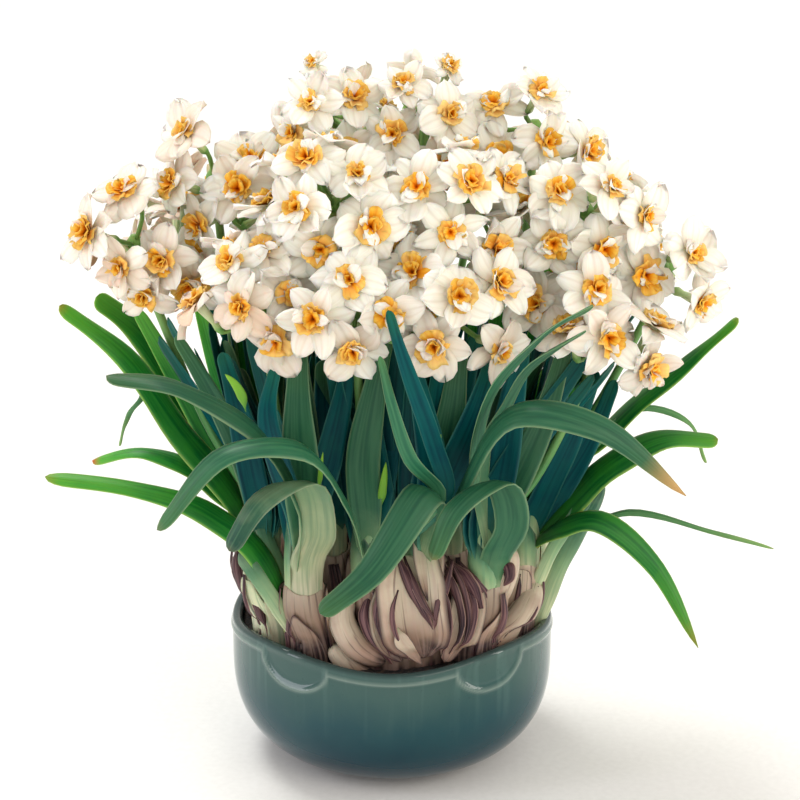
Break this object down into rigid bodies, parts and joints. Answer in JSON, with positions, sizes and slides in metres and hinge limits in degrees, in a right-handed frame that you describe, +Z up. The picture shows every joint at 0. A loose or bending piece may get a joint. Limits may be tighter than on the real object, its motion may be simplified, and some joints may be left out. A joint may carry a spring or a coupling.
{
  "type": "potted double narcissus",
  "caption": "Glazed bowl with a lobed rim, holding a clump of narcissus bulbs with strap leaves and umbels of white double flowers with orange-yellow centres.",
  "frame": {"origin": "centre of the bowl's flat foot, on the surface that the bowl stands on", "axes": "+Z up the bowl's axis, -Y towards the side that the picture shows, +X to its right"},
  "size_m": [0.3586, 0.2421, 0.3634],
  "materials": {
    "glaze": "gloss",
    "soil": "matte, damp",
    "bulb": "satin, papery skins",
    "leaf": "satin, waxy",
    "petal": "matte, soft"
  },
  "bodies": {
    "root": {"bowl": "glaze", "soil": "soil", "bulb_01": "bulb", "bulb_02": "bulb", "bulb_03": "bulb", "bulb_04": "bulb", "bulb_05": "bulb", "bulb_06": "bulb", "bulb_07": "bulb", "bulb_08": "bulb", "bulb_09": "bulb", "bulb_10": "bulb", "bulb_11": "bulb", "bulb_12": "bulb", "bulb_13": "bulb", "shoot_01": "leaf", "shoot_02": "leaf", "shoot_03": "leaf", "shoot_04": "leaf", "shoot_05": "leaf", "shoot_06": "leaf", "shoot_07": "leaf", "shoot_08": "leaf", "shoot_09": "leaf", "shoot_10": "leaf", "shoot_11": "leaf", "shoot_12": "leaf", "shoot_13": "leaf", "shoot_14": "leaf", "shoot_15": "leaf", "shoot_16": "leaf", "shoot_17": "leaf", "shoot_18": "leaf", "umbel_01": "petal", "umbel_02": "petal", "umbel_03": "petal", "umbel_04": "petal", "umbel_05": "petal", "umbel_06": "petal", "umbel_07": "petal", "umbel_08": "petal", "umbel_09": "petal", "umbel_10": "petal", "umbel_11": "petal", "umbel_12": "petal", "umbel_13": "petal", "umbel_14": "petal", "umbel_15": "petal", "umbel_16": "petal", "umbel_17": "petal", "umbel_18": "petal"}
  },
  "joints": []
}
